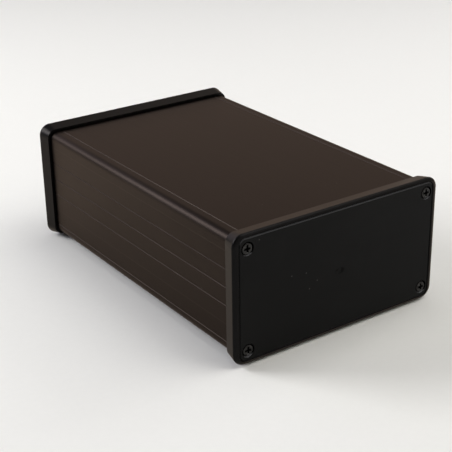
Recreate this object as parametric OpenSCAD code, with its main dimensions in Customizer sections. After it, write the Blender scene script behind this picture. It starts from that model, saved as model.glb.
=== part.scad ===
// Instrument case: one extruded aluminium body, a base plate that slides into
// it, and at each end a bezel frame with a screwed-on end panel.
// X is the width, Y runs along the extrusion with the front end at -Y, Z is up.
// The case stands on z = 0 and its middle is at x = 0, y = 0.

/* [Case] */

// Outside width of the aluminium body
body_w = 103; // [90:1:150]

// Outside height of the aluminium body
body_h = 53; // [50:1:80]

// Cut length of the aluminium body
body_len = 160; // [60:5:260]

// Thickness of the body's top and side walls
wall = 1.5; // [1.2:0.1:2]

// Radius of the body's long outside edges
edge_r = 3.5; // [2.5:0.5:5]

/* [Bezels] */

// How far the bezel stands out from the body at the bezel's inner edge
bezel_step = 1.3; // [1.3:0.1:3]

// How much further it stands out at its widest
bezel_flare = 1.3; // [0.5:0.1:1.5]

// Depth of the bezel along the body, from the face of the end panel
bezel_depth = 7.5; // [6:0.1:10]

// Width of the straight band at the bezel's widest
bezel_land = 0.3; // [0.2:0.1:2]

// Radius of the crowned face between the bezel's edge and the end panel
rim_r = 3; // [2.6:0.1:3.5]

// Radius of the bezel's corners seen from the end
bezel_corner_r = 5.5; // [5:0.5:8]

// Thickness of the frame between the end panel and the body
web_t = 1; // [0.8:0.1:2]

/* [End panels] */

// How much narrower than the body an end panel is
panel_under_w = 0.4; // [0:0.1:2]

// How much taller than the body an end panel is
panel_over_h = 1.5; // [0:0.1:2]

// Thickness of an end panel
panel_t = 2.2; // [2:0.1:3]

// Radius of the end panel's corners
panel_r = 3; // [2:0.5:4]

// Bevel along the end panel's front edge
panel_bevel = 0.4; // [0.2:0.1:0.6]

/* [Screws] */

// Distance of a screw's axis from the side of the body
screw_in_x = 4.1; // [4.1:0.1:6]

// Distance of a screw's axis from the top or bottom of the body
screw_in_z = 3.9; // [3.9:0.1:6]

// Diameter of the screw head
head_d = 5.4; // [5:0.1:6]

// Height of the screw head
head_h = 1.4; // [1.2:0.1:2]

// Diameter of the screw's shank
shank_d = 2.8; // [2.5:0.1:3.2]

// Length of the screw under its head
screw_len = 12; // [8:1:20]

// Depth of the recess that the screw head sits in
sink_depth = 1.4; // [1:0.1:1.5]

/* [Inside of the body] */

// Spacing of the board slots, and of the fine lines on the outside
slot_pitch = 8.2; // [7:0.1:9]

// Height of the middle board slot above the middle of the body
slot_rise = -5; // [-6:0.5:-4]

// Height of a board slot, for a 1.6 mm circuit board
slot_h = 1.9; // [1.8:0.1:2.2]

// How far the board slot ribs stand in from the side wall
slot_depth = 2.8; // [2:0.1:4]

// Thickness of a board slot rib
rib_t = 1.2; // [1:0.1:1.5]

// Thickness of the sliding base plate
base_t = 1.5; // [1.2:0.1:2]

// Distance of the base plate's rails from the side of the body
rail_in = 11; // [10:0.5:20]

/* [Outside lines] */

// Width of the fine lines along the body
line_w = 0.5; // [0.3:0.1:0.8]

// Depth of the fine lines
line_depth = 0.3; // [0.2:0.1:0.4]

// Distance of the top line from the side of the body
top_line_in = 6.3; // [5:0.1:10]

// Height of the lowest side line above the bottom of the body
low_line_up = 5; // [4.5:0.1:7]

/* [Hidden] */

$fn = 48;

// Clearance between two pieces that are put together by hand
fit = 0.3;

// Clearance round an end panel in its bezel, and the bevel of the pocket
panel_fit = 0.15;
pocket_bevel = 0.25;

// Clearance round the base plate's thickness in its rails
slide_fit = 0.1;

// Clearance round a screw's shank in a plain hole and in its channel
hole_fit = 0.5;
channel_fit = 0.15;

// Screw channel: wall round the bore, and width of the slit along it
channel_wall = 1.7;
slit_w = 1.4;

// Base plate rails: thickness of the lip under and over the plate's edge
lip_t = 1.2;
rail_bite = 2.4;

// Finger grooves at each end of the base plate
grip_len = 24;
grip_w = 1.6;
grip_depth = 0.5;
grip_pitch = 3.2;
grip_count = 3;
grip_end = 14;

// Pan head: radius of its rounded edge, and the cross recess in it
head_round = 0.9;
cross_span = 3.4;
cross_w = 1;
cross_depth = 1.2;
cross_floor = 1.3;

// Point of the screw
point_len = 1.5;
point_d = 1.4;

// Extra length that a cutting tool reaches past a face
over = 1;

panel_w = body_w - panel_under_w;
panel_h = body_h + panel_over_h;
bezel_w = body_w + 2 * (bezel_step + bezel_flare);
bezel_h = body_h + 2 * (bezel_step + bezel_flare);
mid_z = bezel_h / 2;
end_t = panel_t + web_t;
total_len = body_len + 2 * end_t;

// The crowned rim face is flat at the panel, and would reach this slope at
// the bezel's edge if a small radius didn't break it
rim_angle = 50;
edge_break = 0.4;
rim_w = rim_r * sin(rim_angle);
break_slope = asin((rim_w - edge_break) / (rim_r - edge_break));
rim_depth = rim_r - (rim_r - edge_break) * cos(break_slope);

screw_x = body_w / 2 - screw_in_x;
screw_z = body_h / 2 - screw_in_z;
bore_r = shank_d / 2 + channel_fit;
channel_r = bore_r + channel_wall;
sink_r = head_d / 2 + fit;

base_gap_w = body_w - 2 * rail_in;
rail_h = base_t + 2 * slide_fit;
rail_z = -body_h / 2 + lip_t;
base_w = base_gap_w + 2 * rail_bite - 2 * fit;
slot_zs = [for (i = [-1:2]) slot_rise + i * slot_pitch];
line_zs = [for (i = [0:2]) slot_rise + i * slot_pitch];

// Node to draw, or all

// ---- shapes shared by several pieces ----

// Rectangle with round corners, centred
module round_rect(w, h, r) {
    square([w - 2 * r, h], center = true);
    square([w, h - 2 * r], center = true);
    for (x = [-1, 1], y = [-1, 1])
        translate([x * (w / 2 - r), y * (h / 2 - r)])
            circle(r);
}

// Slab with round corners whose whole edge follows the 2D section given as
// child. The section has its outermost point at x = 0, runs to -x, and its
// y is the slab's thickness.
module edged_slab(w, h, r, t) {
    for (x = [-1, 1], y = [-1, 1])
        translate([x * (w / 2 - r), y * (h / 2 - r), 0])
            rotate_extrude()
                half_section(r, t)
                    children();
    translate([-(w / 2 - r), 0, 0])
        rotate([90, 0, 90])
            linear_extrude(w - 2 * r)
                whole_section(h / 2, t)
                    children();
    translate([0, h / 2 - r, 0])
        rotate([90, 0, 0])
            linear_extrude(h - 2 * r)
                whole_section(w / 2, t)
                    children();
}

// The edge section moved out to a distance, and cut off at the axis
module half_section(reach, t) {
    intersection() {
        translate([reach, 0])
            children();
        square([reach + over, t]);
    }
}

module whole_section(reach, t) {
    half_section(reach, t)
        children();
    mirror([1, 0])
        half_section(reach, t)
            children();
}

// Puts a shape drawn with its front face on z = 0 at one end of the case:
// side -1 is the front end and side 1 the rear end
module at_end(side) {
    translate([0, 0, mid_z])
        rotate([0, 0, side < 0 ? 0 : 180])
            translate([0, -total_len / 2, 0])
                rotate([-90, 0, 0])
                    children();
}

module at_screws() {
    for (x = [-1, 1], y = [-1, 1])
        translate([x * screw_x, y * screw_z, 0])
            children();
}

// ---- body ----

// Screw channel wall, before its bore and slit
module channel_walls() {
    for (x = [-1, 1], z = [-1, 1])
        translate([x * screw_x, z * screw_z])
            circle(channel_r);
}

// Each channel is open along its inner side, as a die leaves it
module channel_bores() {
    for (x = [-1, 1], z = [-1, 1])
        translate([x * screw_x, z * screw_z]) {
            circle(bore_r);
            translate([-slit_w / 2, z < 0 ? 0 : -channel_r - over])
                square([slit_w, channel_r + over]);
        }
}

// Pairs of ribs that hold the edges of circuit boards
module board_slots() {
    for (side = [-1, 1], z = slot_zs, rib = [-1, 1])
        translate([side * (body_w / 2 - (wall + slot_depth) / 2),
                   z + rib * (slot_h + rib_t) / 2])
            square([wall + slot_depth, rib_t], center = true);
}

// Solid foot of each side wall, with the rail for the base plate in it
module base_rails() {
    for (side = [0, 1])
        mirror([side, 0])
            translate([base_gap_w / 2, -body_h / 2])
                square([screw_x - base_gap_w / 2, 2 * lip_t + rail_h]);
}

module rail_grooves() {
    for (side = [0, 1])
        mirror([side, 0])
            translate([base_gap_w / 2 - over, rail_z])
                square([rail_bite + over, rail_h]);
}

// Shallow V cut into a face along the body, pointing to -x
module line_cut() {
    polygon([[over, -line_w / 2], [0, -line_w / 2], [-line_depth, 0],
             [0, line_w / 2], [over, line_w / 2]]);
}

module outside_lines() {
    for (side = [0, 1])
        mirror([side, 0]) {
            for (z = concat(line_zs, [low_line_up - body_h / 2]))
                translate([body_w / 2, z])
                    line_cut();
            translate([body_w / 2 - top_line_in, body_h / 2])
                rotate(90)
                    line_cut();
        }
}

module body_profile() {
    difference() {
        round_rect(body_w, body_h, edge_r);
        // inside of the body
        difference() {
            round_rect(body_w - 2 * wall, body_h - 2 * wall, edge_r - wall);
            channel_walls();
            board_slots();
            base_rails();
        }
        translate([-base_gap_w / 2, -body_h / 2 - over])
            square([base_gap_w, wall + 2 * over]);
        channel_bores();
        rail_grooves();
        outside_lines();
    }
}

module body_extrusion() {
    color([0.20, 0.17, 0.15])
        translate([0, 0, mid_z])
            rotate([90, 0, 0])
                linear_extrude(body_len, center = true)
                    body_profile();
}

// ---- base plate ----

module base_plate() {
    color([0.20, 0.17, 0.15])
        translate([0, 0, mid_z + rail_z])
            difference() {
                translate([-base_w / 2, -body_len / 2, 0])
                    cube([base_w, body_len, base_t]);
                for (end = [-1, 1], i = [0:grip_count - 1])
                    translate([0, end * (body_len / 2 - grip_end
                                         - i * grip_pitch), 0])
                        cube([grip_len, grip_w, 2 * grip_depth],
                             center = true);
            }
}

// ---- bezels ----

// Edge of the bezel: flared wall, straight land, broken edge, crowned rim
module bezel_edge() {
    reach = bezel_w / 2;
    land_end = rim_depth + bezel_land;
    crown_end = [-rim_w + rim_r * sin(break_slope),
                 rim_r * (1 - cos(break_slope))];
    polygon([[-reach, 0], [-rim_w, 0], crown_end, [0, rim_depth],
             [0, land_end], [-bezel_flare, bezel_depth],
             [-reach, bezel_depth]]);
    intersection() {
        translate([-rim_w, rim_r])
            circle(rim_r);
        translate([-rim_w, 0])
            square([crown_end[0] + rim_w, crown_end[1]]);
    }
    intersection() {
        translate([-edge_break, rim_depth])
            circle(edge_break);
        translate([crown_end[0], crown_end[1]])
            square([-crown_end[0], rim_depth - crown_end[1]]);
    }
}

// Edge of the pocket that takes the end panel, wider at its mouth
module pocket_edge() {
    reach = panel_w / 2;
    polygon([[-reach, -over], [0, -over], [0, 0],
             [-pocket_bevel, pocket_bevel], [-pocket_bevel, panel_t],
             [-reach, panel_t]]);
}

module bezel() {
    difference() {
        edged_slab(bezel_w, bezel_h, bezel_corner_r, bezel_depth)
            bezel_edge();
        pocket();
        // socket that goes over the end of the body
        translate([0, 0, end_t])
            linear_extrude(bezel_depth)
                round_rect(body_w + 2 * fit, body_h + 2 * fit,
                           edge_r + fit);
        window();
        translate([0, 0, panel_t - over])
            at_screws()
                cylinder(d = shank_d + 2 * hole_fit, h = web_t + 2 * over);
    }
}

// Room for the end panel
module pocket() {
    grow = panel_fit + pocket_bevel;
    translate([0, 0, -over])
        edged_slab(panel_w + 2 * grow, panel_h + 2 * grow, panel_r + grow,
                   panel_t + over)
            translate([0, over])
                pocket_edge();
}

// Opening through the frame, leaving a round pad under each screw
module window() {
    pad_r = channel_r + fit;
    translate([0, 0, panel_t - over])
        linear_extrude(web_t + 2 * over)
            difference() {
                round_rect(2 * screw_x, 2 * screw_z, over);
                for (x = [-1, 1], y = [-1, 1])
                    translate([x * screw_x, y * screw_z])
                        circle(pad_r);
            }
}

module front_bezel() {
    color([0.03, 0.03, 0.03])
        at_end(-1)
            bezel();
}

module rear_bezel() {
    color([0.03, 0.03, 0.03])
        at_end(1)
            bezel();
}

// ---- end panels ----

module panel_edge() {
    reach = panel_w / 2;
    polygon([[-reach, 0], [-panel_bevel, 0], [0, panel_bevel],
             [0, panel_t], [-reach, panel_t]]);
}

module end_panel() {
    difference() {
        edged_slab(panel_w, panel_h, panel_r, panel_t)
            panel_edge();
        at_screws() {
            translate([0, 0, -over])
                cylinder(r = sink_r, h = sink_depth + over);
            cylinder(d = shank_d + 2 * hole_fit, h = panel_t + over);
        }
    }
}

module front_panel() {
    color([0.03, 0.03, 0.03])
        at_end(-1)
            end_panel();
}

module rear_panel() {
    color([0.03, 0.03, 0.03])
        at_end(1)
            end_panel();
}

// ---- screws ----

// Outline of the screw, its head's underside on y = 0 and its shank up +y
module screw_outline() {
    head_r = head_d / 2;
    translate([0, -head_h])
        square([head_r - head_round, head_h]);
    translate([0, head_round - head_h])
        square([head_r, head_h - head_round]);
    intersection() {
        translate([head_r - head_round, head_round - head_h])
            circle(head_round);
        translate([0, -head_h])
            square([head_r, head_h]);
    }
    square([shank_d / 2, screw_len - point_len]);
    polygon([[0, 0], [shank_d / 2, 0],
             [shank_d / 2, screw_len - point_len],
             [point_d / 2, screw_len], [0, screw_len]]);
}

// One wing pair of the cross recess, narrower at the bottom
module cross_wing() {
    translate([0, cross_w / 2, -head_h])
        rotate([90, 0, 0])
            linear_extrude(cross_w)
                polygon([[-cross_span / 2, -over], [cross_span / 2, -over],
                         [cross_span / 2, 0],
                         [cross_floor / 2, cross_depth],
                         [-cross_floor / 2, cross_depth],
                         [-cross_span / 2, 0]]);
}

module screw() {
    difference() {
        rotate_extrude()
            screw_outline();
        cross_wing();
        rotate([0, 0, 90])
            cross_wing();
    }
}

module end_screws(side) {
    at_end(side)
        translate([0, 0, sink_depth])
            at_screws()
                screw();
}

module front_screws() {
    color([0.08, 0.08, 0.08])
        end_screws(-1);
}

module rear_screws() {
    color([0.08, 0.08, 0.08])
        end_screws(1);
}

body_extrusion();
base_plate();
front_bezel();
rear_bezel();
front_panel();
rear_panel();
front_screws();
rear_screws();
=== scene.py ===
"""Gives the instrument case its finishes and sets it in a small studio."""

import math

import bpy
from bpy.props import FloatProperty, FloatVectorProperty, PointerProperty
from mathutils import Matrix, Vector


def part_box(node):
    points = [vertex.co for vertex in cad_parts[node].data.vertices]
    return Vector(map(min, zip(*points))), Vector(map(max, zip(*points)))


bl_info = {
    "name": "Extruded Enclosure",
    "version": (1, 0, 0),
    "blender": (4, 5, 0),
    "location": "3D View > Sidebar > Enclosure",
    "description": "Finishes and studio for an extruded instrument case",
    "category": "Object",
}

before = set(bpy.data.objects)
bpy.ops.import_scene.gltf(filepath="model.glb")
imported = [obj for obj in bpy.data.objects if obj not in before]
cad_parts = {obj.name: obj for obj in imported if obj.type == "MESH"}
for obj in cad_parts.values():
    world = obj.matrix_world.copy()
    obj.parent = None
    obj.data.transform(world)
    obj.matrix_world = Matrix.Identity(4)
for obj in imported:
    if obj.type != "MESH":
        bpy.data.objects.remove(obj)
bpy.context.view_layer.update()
MM = 0.001

# Height of the middle of the body and of both panels.
BODY_MIDDLE = sum(corner.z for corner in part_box("body_extrusion")) / 2

# Two depths of relief in the surfaces.
FINE = 0.01 * MM
COARSE = 0.02 * MM

# Heights at which inside ribs show through the side walls as fine grooves, lightened
# along them by a painted highlight, and how their lines fade to either side.
RIB_MARKS = (BODY_MIDDLE + 19.6 * MM, BODY_MIDDLE - 13.3 * MM)
RIB_FADE = (0.1 * MM, 0.35 * MM)

# Marks on the front panel, in mm across and up from its middle.
DUST = ((-41.7, 25.0), (-25.5, 4.3), (-18.0, 3.5), (-12.2, -1.5), (-16.2, -4.2))
DUST_RADIUS = 0.38 * MM
TOUCH = ((0.0, -0.7),)
TOUCH_RADIUS = 3.6 * MM
TOUCH_FLATNESS = 2.0

# The cross in a screw is darkened by painted shade, partly oxide: fully at the first
# of these distances from the middle of the case and not at the second, just under the
# head's top.
SCREW_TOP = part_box("rear_screws")[1].y
CROSS_SHADE_DEPTHS = (SCREW_TOP - 0.25 * MM, SCREW_TOP - 0.05 * MM)

# Colours of dust, of painted highlights and glints on up-facing edges, and of a plain
# lamp.
DUST_ON_METAL = (0.30, 0.29, 0.27)
DUST_ON_BEZEL = (0.35, 0.34, 0.33)
DUST_ON_PANEL = (0.35, 0.34, 0.32)
BEVEL_PAINTED_HIGHLIGHT = (0.050, 0.050, 0.052)
SINK_PAINTED_GLINT = (0.24, 0.24, 0.25)
WHITE = (1.0, 1.0, 1.0)

# Directions, x and y, in which parts of the room glow, and how close to its
# direction each glow starts and is full.
BACK_RIGHT = (0.566, 0.824)
BACK_LEFT = (-0.6, 0.8)
FRONT_RIGHT = (0.5, -0.86)
BACK_SPREAD = (0.45, 0.9)
FRONT_SPREAD = (0.3, 0.9)

# The same for height: sines of the angle above the horizon.
LOW_TO_MIDDLE = (0.05, 0.45)
MIDDLE_TO_HIGH = (0.45, 0.8)

# The lamps' names and the point that they aim at.
LAMPS = ("window", "side", "fill", "overhead")
AIM = (0.0, 0.0, 0.03)

# Half the floor's side, and how far the floor lies below the case.
FLOOR_REACH = 6.0
FLOOR_DROP = 0.8 * MM

# The camera's sensor width in mm and its clipping distances.
SENSOR = 36.0
CLIP = (0.01, 30.0)


# ---------------------------------------------------------------- shader maths


class Field:
    """One output of a shader tree, used like a number in expressions."""

    def __init__(self, paint, socket):
        self.paint = paint
        self.socket = socket

    def _math(self, operation, *values):
        return self.paint.node("ShaderNodeMath", {"operation": operation}, *values)

    def __add__(self, other):
        return self._math("ADD", self, other)

    def __radd__(self, other):
        return self._math("ADD", other, self)

    def __sub__(self, other):
        return self._math("SUBTRACT", self, other)

    def __rsub__(self, other):
        return self._math("SUBTRACT", other, self)

    def __mul__(self, other):
        return self._math("MULTIPLY", self, other)

    def __abs__(self):
        return self._math("ABSOLUTE", self)

    def above(self, low, high):
        """0 below low, 1 above high, smooth between them."""
        return self.paint.node(
            "ShaderNodeMapRange",
            {"interpolation_type": "SMOOTHSTEP"},
            Value=self,
            **{"From Min": low, "From Max": high},
        )


class Paint:
    """Fills the shader tree of a material or a world with nodes."""

    MIX_LOW, MIX_HIGH, MIX_RESULT = 6, 7, 2  # colour sockets of a mix node

    def __init__(self, owner, ending="ShaderNodeOutputMaterial"):
        owner.use_nodes = True
        self.owner = owner
        self.tree = owner.node_tree
        self.tree.nodes.clear()
        self.ending = self.tree.nodes.new(ending)

    def node(self, kind, settings, *values, output=0, **named):
        """Adds a node: its settings first, then values or links of its sockets."""
        made = self.tree.nodes.new(kind)
        for key, value in settings.items():
            setattr(made, key, value)
        for key, value in list(enumerate(values)) + list(named.items()):
            self._feed(made.inputs[key], value)
        return Field(self, made.outputs[output])

    def _feed(self, socket, value):
        if isinstance(value, Field):
            self.tree.links.new(value.socket, socket)
        elif socket.type == "RGBA" and len(value) == 3:
            socket.default_value = (*value, 1.0)
        else:
            socket.default_value = value

    def end(self, surface):
        """Shows a shader as the surface and returns what was painted."""
        self.tree.links.new(surface.socket, self.ending.inputs["Surface"])
        return self.owner

    def finish(self, **sockets):
        """Ends a material in a principled shader with these sockets set."""
        named = {key.replace("_", " "): value for key, value in sockets.items()}
        return self.end(self.node("ShaderNodeBsdfPrincipled", {}, **named))

    def place(self, scale=(1, 1, 1)):
        """Object coordinates, stretched by scale."""
        coords = self.node("ShaderNodeTexCoord", {}, output="Object")
        return self.node(
            "ShaderNodeVectorMath", {"operation": "MULTIPLY"}, coords, scale
        )

    def part(self, vector, letter):
        """The X, Y or Z part of a vector."""
        return self.node("ShaderNodeSeparateXYZ", {}, Vector=vector, output=letter)

    def axis(self, letter):
        """One of the object coordinates, in metres."""
        return self.part(self.place(), letter)

    def facing(self):
        """How far a face points along the case, and how far it points up."""
        normal = self.node("ShaderNodeNewGeometry", {}, output="True Normal")
        return abs(self.part(normal, "Y")), self.part(normal, "Z")

    def noise(self, scale, stretch=(1, 1, 1), detail=3.0, roughness=0.55):
        """Cloudy noise about 0.5, finer with scale, longer where stretch is low."""
        return self.node(
            "ShaderNodeTexNoise",
            {},
            Vector=self.place(stretch),
            Scale=scale,
            Detail=detail,
            Roughness=roughness,
        )

    def specks(self, scale, size):
        """1 in small round spots about size of a cell across, else 0."""
        cells = self.node(
            "ShaderNodeTexVoronoi",
            {"feature": "F1"},
            Vector=self.place(),
            Scale=scale,
        )
        return 1 - cells.above(size * 0.5, size)

    def spots(self, places, radius, flatness=1.0):
        """1 in soft spots at the given places on the front panel, else 0."""
        flat = self.place((1.0, 0.0, flatness))
        marks = 0.0
        for x, z in places:
            middle = (x * MM, 0.0, (BODY_MIDDLE + z * MM) * flatness)
            reach = self.node(
                "ShaderNodeVectorMath",
                {"operation": "DISTANCE"},
                flat,
                middle,
                output="Value",
            )
            marks = marks + (1 - reach.above(radius * 0.5, radius))
        return marks * (1 - self.axis("Y").above(-MM, MM))

    def rib_marks(self):
        """1 along the faint grooves that inside ribs leave on the side walls."""
        marks = 0.0
        height = self.axis("Z")
        for level in RIB_MARKS:
            marks = marks + (1 - abs(height - level).above(*RIB_FADE))
        return marks

    def mix(self, factor, low, high, strength=1.0):
        """Colour low where factor is 0; high, by strength, where it is 1."""
        made = self.tree.nodes.new("ShaderNodeMix")
        made.data_type = "RGBA"
        self._feed(made.inputs["Factor"], factor * strength)
        self._feed(made.inputs[self.MIX_LOW], low)
        self._feed(made.inputs[self.MIX_HIGH], high)
        return Field(self, made.outputs[self.MIX_RESULT])

    def glow(self, mask, colour, under=(0.0, 0.0, 0.0)):
        """Adds colour, as strong as mask, to the light under it."""
        lit = self.node(
            "ShaderNodeVectorMath", {"operation": "SCALE"}, tuple(colour), Scale=mask
        )
        return self.node("ShaderNodeVectorMath", {"operation": "ADD"}, under, lit)

    def bump(self, height, distance, strength, under=None):
        """The normal over relief that is distance deep, added to any under it."""
        links = {"Normal": under} if under else {}
        return self.node(
            "ShaderNodeBump",
            {},
            Height=height,
            Distance=distance,
            Strength=strength,
            **links,
        )


def shade(colour, factor):
    """The colour, this many times as bright."""
    return tuple(c * factor for c in colour)


def around(middle, *sways):
    """The middle value, moved by each noise within a range that is swing wide."""
    for noise, swing in sways:
        middle = middle + (noise - 0.5) * swing
    return middle


# ------------------------------------------------------------------- finishes


def anodised_metal(colour):
    """Satin dyed anodising with die lines along it, rib grooves with a painted
    highlight, and a little dust.
    """
    p = Paint(bpy.data.materials.new("anodised_aluminium"))
    die = p.noise(700.0, stretch=(1.0, 0.004, 1.0))
    cloud = p.noise(24.0, stretch=(1.0, 0.5, 1.0), detail=4.0)
    grain = p.noise(3800.0, detail=2.0)
    dust = p.specks(330.0, size=0.10) * p.noise(60.0).above(0.60, 0.72)
    ribs = p.rib_marks()
    uneven = (cloud * 0.6 + die * 0.4).above(0.35, 0.65)
    tint = p.mix(uneven, shade(colour, 0.88), shade(colour, 1.14))
    tint = p.mix(dust, tint, DUST_ON_METAL, strength=0.3)
    # Painted highlight: lighter along the rib grooves, as if light caught their
    # flanks.
    tint = p.mix(ribs, tint, shade(colour, 2.0), strength=0.5)
    normal = p.bump(die, FINE, 0.25)
    normal = p.bump(ribs, COARSE, 0.6, under=normal)
    normal = p.bump(grain, FINE, 0.35, under=normal)
    return p.finish(
        Base_Color=tint,
        Roughness=around(0.42, (cloud, 0.05), (die, 0.06)),
        Metallic=1.0,
        Specular_Tint=(0.92, 0.81, 0.735),
        Normal=normal,
    )


def bezel_plastic(colour):
    """Black moulded plastic with a fine spark grain, paler rubs and a little dust."""
    p = Paint(bpy.data.materials.new("bezel_plastic"))
    grain = p.noise(3000.0, detail=2.0)
    rub = p.noise(45.0, detail=5.0, roughness=0.6)
    dust = p.specks(300.0, size=0.10) * p.noise(40.0).above(0.58, 0.72)
    tint = p.mix(rub.above(0.4, 0.75), colour, shade(colour, 1.3))
    tint = p.mix(dust, tint, DUST_ON_BEZEL, strength=0.3)
    return p.finish(
        Base_Color=tint,
        Roughness=around(0.34, (rub, 0.10)),
        Metallic=0.6,
        Specular_IOR_Level=0.08,
        Specular_Tint=(0.98, 0.86, 0.75),
        Normal=p.bump(grain, COARSE, 0.35),
    )


def panel_plastic(colour):
    """Black sheet plastic, smudged, dusty and touched, with painted highlights on
    up-facing edges.
    """
    p = Paint(bpy.data.materials.new("panel_plastic"))
    grain = p.noise(2600.0)
    smudge = p.noise(38.0, stretch=(1.0, 1.0, 1.6), detail=5.0, roughness=0.65)
    wipe = p.noise(150.0, stretch=(0.25, 1.0, 1.0))
    dust = p.spots(DUST, DUST_RADIUS)
    touch = p.spots(TOUCH, TOUCH_RADIUS, TOUCH_FLATNESS)
    touch = touch * p.noise(500.0).above(0.35, 0.6)
    tint = p.mix(smudge.above(0.42, 0.72), colour, shade(colour, 1.4))
    tint = p.mix(touch, tint, shade(colour, 0.1))
    tint = p.mix(dust, tint, DUST_ON_PANEL, strength=0.15)

    # Faces that lean back and up are the bevel's, and get a painted highlight; those
    # that look straight up are the lower wall of each screw sink and the panel's own
    # top edge, and get a painted glint.
    along, up = p.facing()
    leaning = along.above(0.5, 0.6) * (1 - along.above(0.8, 0.9))
    # Painted highlight on the bevel where it faces up.
    tint = p.mix(leaning * up.above(0.1, 0.5), tint, BEVEL_PAINTED_HIGHLIGHT)
    level = up.above(0.6, 0.9) * (1 - along.above(0.2, 0.4))
    # Painted glint on the up-facing lower walls of the screw sinks and on the panel's
    # top edge.
    tint = p.mix(level, tint, SINK_PAINTED_GLINT)
    return p.finish(
        Base_Color=tint,
        Roughness=around(0.44, (smudge, 0.14), (wipe, 0.06)) + touch * 0.3,
        Specular_IOR_Level=0.09,
        Normal=p.bump(grain, COARSE, 0.4),
    )


def black_screw(colour):
    """Black oxide steel with paler rubs, darker inside the cross from painted shade,
    partly oxide.
    """
    p = Paint(bpy.data.materials.new("black_screw_steel"))
    rub = p.noise(700.0, detail=4.0)
    cross_shade = 1 - abs(p.axis("Y")).above(*CROSS_SHADE_DEPTHS)
    tint = p.mix(rub.above(0.45, 0.7), colour, shade(colour, 1.7))
    # Painted shade, partly oxide, darkens the inside of the cross.
    tint = p.mix(cross_shade, tint, shade(colour, 0.15))
    return p.finish(
        Base_Color=tint,
        Roughness=around(0.27, (rub, 0.2)),
        Metallic=1.0,
        Normal=p.bump(rub, COARSE, 0.4),
    )


def floor_paper(colour):
    """Plain pale paper under the case."""
    p = Paint(bpy.data.materials.new("floor_paper"))
    fibre = p.noise(500.0)
    tint = p.mix(fibre.above(0.3, 0.7), shade(colour, 0.99), colour)
    return p.finish(Base_Color=tint, Roughness=0.85)


def dress(node, material):
    """Gives a carried-over node its finish."""
    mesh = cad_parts[node].data
    mesh.materials.clear()
    mesh.materials.append(material)


# ----------------------------------------------------------------- properties


def colour_property(name, default, description="Colour of its light"):
    return FloatVectorProperty(
        name=name,
        description=description,
        subtype="COLOR",
        size=3,
        min=0.0,
        max=1.0,
        default=default,
    )


def place_property(name, default, description="Where it hangs"):
    return FloatVectorProperty(
        name=name,
        description=description,
        size=3,
        subtype="TRANSLATION",
        unit="LENGTH",
        default=default,
    )


def angle_property(name, degrees, description):
    return FloatProperty(
        name=name,
        description=description,
        subtype="ANGLE",
        default=math.radians(degrees),
    )


def size_property(name, default):
    return FloatProperty(
        name=name, description="Side of its square", unit="LENGTH", default=default
    )


def power_property(name, default):
    return FloatProperty(name=name, description="Power", unit="POWER", default=default)


class EnclosureFinish(bpy.types.PropertyGroup):
    """Colours of the case."""

    anodising: colour_property(
        "Anodising", (0.0186, 0.0147, 0.0127), "Dye colour of the aluminium"
    )
    bezel: colour_property("Bezel", (0.0086, 0.0085, 0.0088), "Bezel plastic")
    panel: colour_property("Panel", (0.0038, 0.0037, 0.0036), "End panel plastic")
    screw: colour_property("Screw", (0.034, 0.033, 0.032), "Black oxide steel")


class EnclosureStudio(bpy.types.PropertyGroup):
    """Floor, camera, room and lights."""

    floor: colour_property("Floor", (0.885, 0.872, 0.82), "Colour of the floor")
    lens: FloatProperty(
        name="Lens",
        description="Focal length of the camera",
        default=90.98,
        min=20.0,
        max=300.0,
        unit="CAMERA",
    )
    azimuth: angle_property("Azimuth", -34.507, "Direction that the camera stands in")
    elevation: angle_property("Elevation", 24.009, "How far the camera looks down")
    roll: angle_property("Roll", -0.956, "Tilt of the camera")
    stand: place_property(
        "Camera place", (-0.28090, -0.40843, 0.23989), "Where the camera stands"
    )
    world: FloatProperty(
        name="World", description="Strength of the room's light", default=2.0, min=0.0
    )
    room: colour_property("Room", (0.005, 0.005, 0.005), "Light all round")
    paper: colour_property("Paper", (0.22, 0.175, 0.145), "Glow of the paper behind")
    wall: colour_property("Wall", (0.34, 0.335, 0.35), "Wall above the paper")
    sky: colour_property("Sky", (0.55, 0.56, 0.80), "Glow round the window")
    front: colour_property("Front", (0.31, 0.295, 0.275), "Room in front of the case")
    window_place: place_property("Window place", (-0.704, 0.704, 0.605))
    window_size: size_property("Window size", 0.5)
    window_power: power_property("Window power", 8.7)
    window_colour: colour_property("Window colour", (0.975, 0.985, 1.0))
    side_place: place_property("Side light place", (0.996, 0.0, 0.605))
    side_size: size_property("Side light size", 0.5)
    side_power: power_property("Side light power", 2.8)
    side_colour: colour_property("Side light colour", WHITE)
    fill_place: place_property("Front light place", (0.466, -0.466, 0.972))
    fill_size: size_property("Front light size", 0.8)
    fill_power: power_property("Front light power", 5.3)
    fill_colour: colour_property("Front light colour", WHITE)
    overhead_place: place_property("Overhead light place", (0.0, 0.0, 1.2))
    overhead_size: size_property("Overhead light size", 0.7)
    overhead_power: power_property("Overhead light power", 2.7)
    overhead_colour: colour_property("Overhead light colour", WHITE)


# ------------------------------------------------------------------ operators


class ENCLOSURE_OT_body(bpy.types.Operator):
    """Finish the extruded body and its base plate"""

    bl_idname = "enclosure.body"
    bl_label = "Aluminium Body"

    def execute(self, context):
        metal = anodised_metal(tuple(context.scene.enclosure_finish.anodising))
        dress("body_extrusion", metal)
        dress("base_plate", metal)
        return {"FINISHED"}


class ENCLOSURE_OT_bezels(bpy.types.Operator):
    """Finish both bezel frames"""

    bl_idname = "enclosure.bezels"
    bl_label = "Bezels"

    def execute(self, context):
        plastic = bezel_plastic(tuple(context.scene.enclosure_finish.bezel))
        dress("front_bezel", plastic)
        dress("rear_bezel", plastic)
        return {"FINISHED"}


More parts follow.
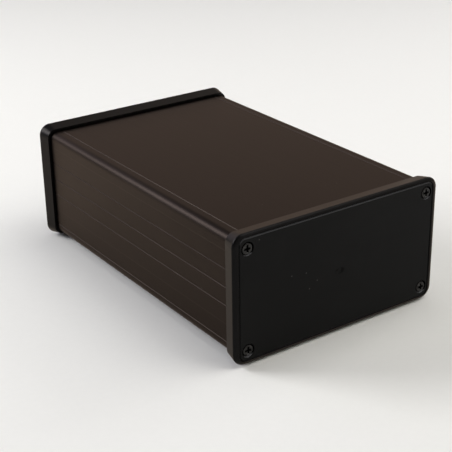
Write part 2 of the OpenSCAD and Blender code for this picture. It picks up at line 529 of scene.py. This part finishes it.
class ENCLOSURE_OT_panels(bpy.types.Operator):
    """Finish both end panels"""

    bl_idname = "enclosure.panels"
    bl_label = "End Panels"

    def execute(self, context):
        plastic = panel_plastic(tuple(context.scene.enclosure_finish.panel))
        dress("front_panel", plastic)
        dress("rear_panel", plastic)
        return {"FINISHED"}


class ENCLOSURE_OT_screws(bpy.types.Operator):
    """Finish the eight panel screws"""

    bl_idname = "enclosure.screws"
    bl_label = "Screws"

    def execute(self, context):
        steel = black_screw(tuple(context.scene.enclosure_finish.screw))
        dress("front_screws", steel)
        dress("rear_screws", steel)
        return {"FINISHED"}


class ENCLOSURE_OT_studio(bpy.types.Operator):
    """Make the floor, the room's light, the lamps and the camera"""

    bl_idname = "enclosure.studio"
    bl_label = "Studio"

    def execute(self, context):
        studio = context.scene.enclosure_studio
        self.make_floor(context, studio)
        self.make_room(context, studio)
        for name in LAMPS:
            self.make_lamp(context, studio, name)
        self.make_camera(context, studio)
        return {"FINISHED"}

    def make_floor(self, context, studio):
        far, low = FLOOR_REACH, -FLOOR_DROP
        plan = ((-far, -far), (far, -far), (far, far), (-far, far))
        mesh = bpy.data.meshes.new("floor")
        mesh.from_pydata([(x, y, low) for x, y in plan], [], [(0, 1, 2, 3)])
        mesh.materials.append(floor_paper(tuple(studio.floor)))
        floor = bpy.data.objects.new("floor", mesh)
        context.scene.collection.objects.link(floor)

    def make_room(self, context, studio):
        """A dark room that glows behind the case, at the window and in front."""
        world = bpy.data.worlds.new("studio")
        context.scene.world = world
        p = Paint(world, "ShaderNodeOutputWorld")
        look = p.node("ShaderNodeTexCoord", {}, output="Generated")
        x, y, z = (p.part(look, letter) for letter in "XYZ")

        def toward(direction, spread):
            return (x * direction[0] + y * direction[1]).above(*spread)

        low = 1 - z.above(*LOW_TO_MIDDLE)
        high = z.above(*MIDDLE_TO_HIGH)
        middle = 1 - low - high
        right = toward(BACK_RIGHT, BACK_SPREAD)
        left = toward(BACK_LEFT, BACK_SPREAD)
        front = toward(FRONT_RIGHT, FRONT_SPREAD)
        glow = p.glow(1.0, studio.room)
        glow = p.glow(right * low, studio.paper, glow)
        glow = p.glow(right * middle, studio.wall, glow)
        glow = p.glow(left * middle, studio.sky, glow)
        glow = p.glow(front * (1 - high), studio.front, glow)
        p.end(p.node("ShaderNodeBackground", {}, Color=glow, Strength=studio.world))

    def make_lamp(self, context, studio, name):
        """A square soft light, turned to the case."""
        lamp = bpy.data.lights.new(name, "AREA")
        lamp.shape = "SQUARE"
        lamp.size = getattr(studio, name + "_size")
        lamp.energy = getattr(studio, name + "_power")
        lamp.color = getattr(studio, name + "_colour")
        place = Vector(getattr(studio, name + "_place"))
        made = bpy.data.objects.new(name, lamp)
        made.location = place
        made.rotation_euler = (Vector(AIM) - place).to_track_quat("-Z", "Y").to_euler()
        context.scene.collection.objects.link(made)

    def make_camera(self, context, studio):
        data = bpy.data.cameras.new("camera")
        data.lens = studio.lens
        data.sensor_width = SENSOR
        data.clip_start, data.clip_end = CLIP
        camera = bpy.data.objects.new("camera", data)
        context.scene.collection.objects.link(camera)
        a, e, r = studio.azimuth, studio.elevation, studio.roll
        back = Vector(
            (math.sin(a) * math.cos(e), -math.cos(a) * math.cos(e), math.sin(e))
        )
        side = Vector((0, 0, 1)).cross(back).normalized()
        up = back.cross(side)
        turned = side * math.cos(r) + up * math.sin(r)
        up = up * math.cos(r) - side * math.sin(r)
        axes = Matrix((turned, up, back)).transposed().to_4x4()
        camera.matrix_world = Matrix.Translation(studio.stand) @ axes
        context.scene.camera = camera


STEPS = (
    ENCLOSURE_OT_body,
    ENCLOSURE_OT_bezels,
    ENCLOSURE_OT_panels,
    ENCLOSURE_OT_screws,
    ENCLOSURE_OT_studio,
)


class ENCLOSURE_PT_panel(bpy.types.Panel):
    """Lists the settings and the steps that dress the case"""

    bl_idname = "ENCLOSURE_PT_panel"
    bl_label = "Enclosure"
    bl_space_type = "VIEW_3D"
    bl_region_type = "UI"
    bl_category = "Enclosure"

    def draw(self, context):
        scene = context.scene
        for group in (scene.enclosure_finish, scene.enclosure_studio):
            for key in group.bl_rna.properties.keys():
                if key not in {"rna_type", "name"}:
                    self.layout.prop(group, key)
        for step in STEPS:
            self.layout.operator(step.bl_idname)


CLASSES = (EnclosureFinish, EnclosureStudio, *STEPS, ENCLOSURE_PT_panel)


def register():
    for item in CLASSES:
        bpy.utils.register_class(item)
    bpy.types.Scene.enclosure_finish = PointerProperty(type=EnclosureFinish)
    bpy.types.Scene.enclosure_studio = PointerProperty(type=EnclosureStudio)


def unregister():
    del bpy.types.Scene.enclosure_studio
    del bpy.types.Scene.enclosure_finish
    for item in reversed(CLASSES):
        bpy.utils.unregister_class(item)


def main():
    register()
    scene = bpy.context.scene
    scene.view_settings.view_transform = "Standard"
    bpy.ops.enclosure.body()
    bpy.ops.enclosure.bezels()
    bpy.ops.enclosure.panels()
    bpy.ops.enclosure.screws()
    bpy.ops.enclosure.studio()


if __name__ == "__main__":
    main()
